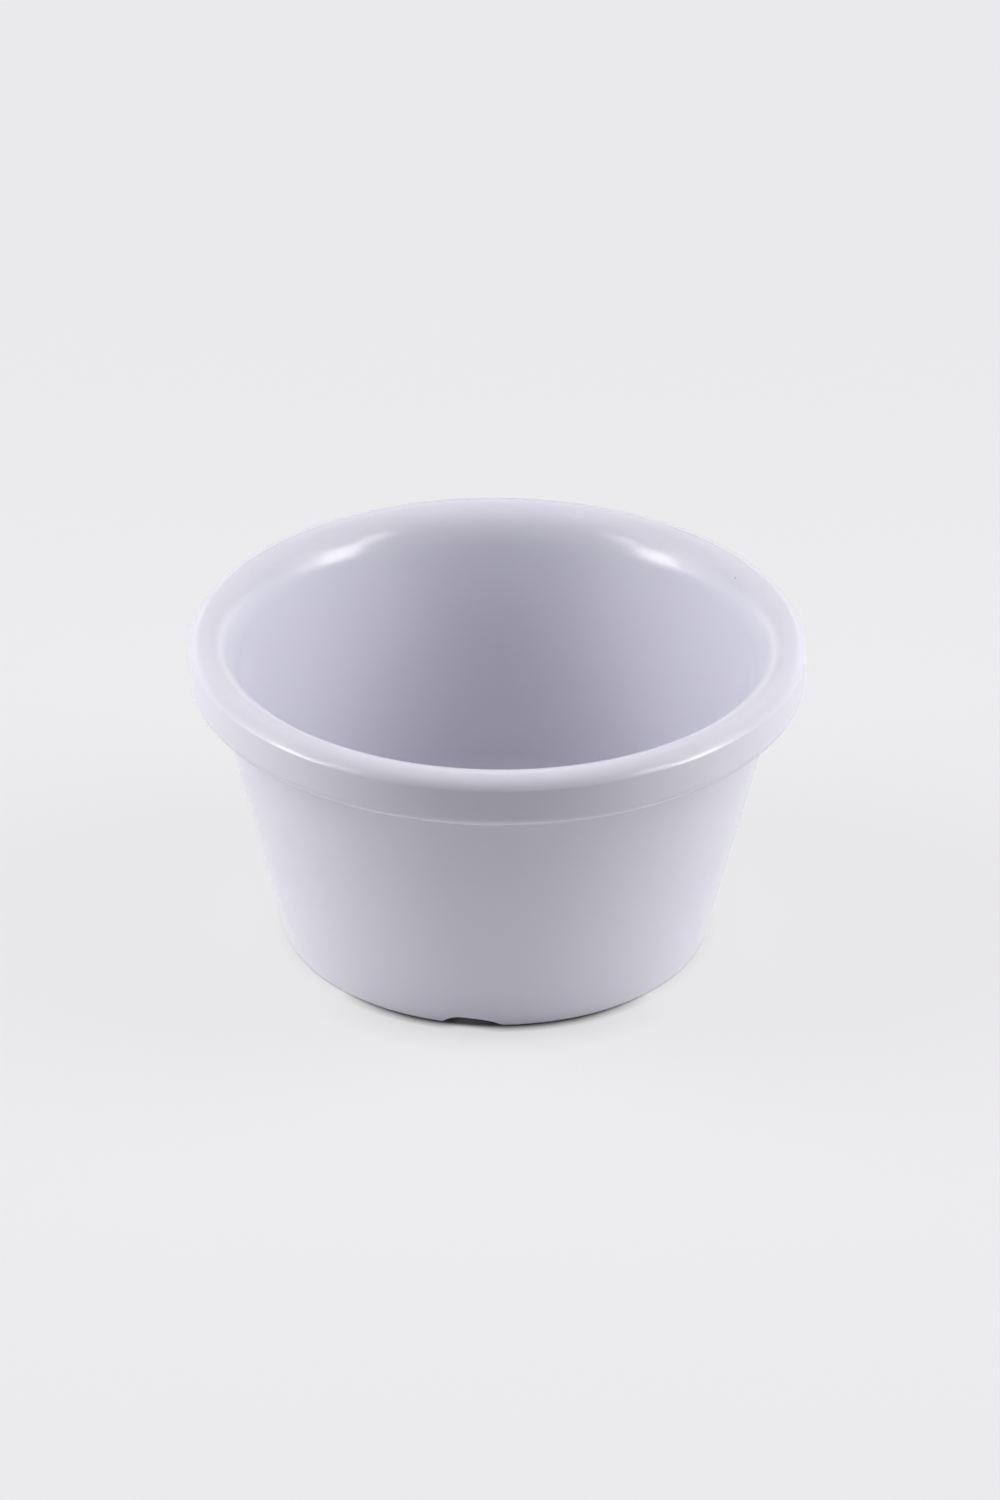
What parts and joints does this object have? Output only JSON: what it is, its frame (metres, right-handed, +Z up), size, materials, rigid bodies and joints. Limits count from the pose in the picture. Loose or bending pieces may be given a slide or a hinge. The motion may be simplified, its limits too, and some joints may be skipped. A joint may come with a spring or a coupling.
{
  "type": "ramekin",
  "caption": "Small round glossy plastic ramekin with a thick rolled rim, a straight tapered wall, a deep open well and a low foot ring crossed by shallow drain notches.",
  "frame": {"origin": "centre of the foot ring, on the plane it stands on", "axes": "+Z up along the axis of the bowl; the front, where a drain notch shows, faces -Y"},
  "size_m": [0.086, 0.086, 0.0462],
  "materials": {
    "moulding": "smooth moulded thermoset plastic, pale lavender white, glossy, with a few tiny dark moulding specks"
  },
  "bodies": {
    "root": {"rim": "moulding", "side_wall": "moulding", "well_floor": "moulding", "foot_ring": "moulding"}
  },
  "joints": []
}
